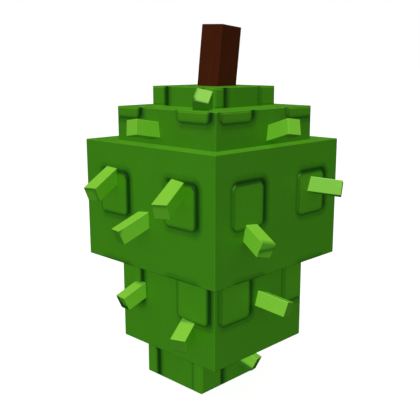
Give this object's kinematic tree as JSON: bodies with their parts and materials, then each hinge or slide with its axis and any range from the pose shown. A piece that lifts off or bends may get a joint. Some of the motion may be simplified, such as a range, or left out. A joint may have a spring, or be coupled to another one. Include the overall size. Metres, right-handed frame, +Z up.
{
  "type": "soursop",
  "caption": "Block-style soursop: a stepped square fruit with raised pads and short square spines, resting on its tip, with a leaning stem seated in its crown.",
  "frame": {"origin": "on the axis of the widest block, in the plane of the flat face that the fruit rests on", "axes": "+Z up from the tip to the stem; -Y and +X are the two walls that the picture shows, left and right"},
  "size_m": [0.1624, 0.169, 0.24],
  "materials": {
    "rind": "dark green rind, satin, with slightly lighter pads in dark outlines",
    "spine": "light green, satin",
    "stem": "dark red-brown, matt"
  },
  "bodies": {
    "root": {"fruit": "rind", "stem": "stem"}
  },
  "joints": []
}
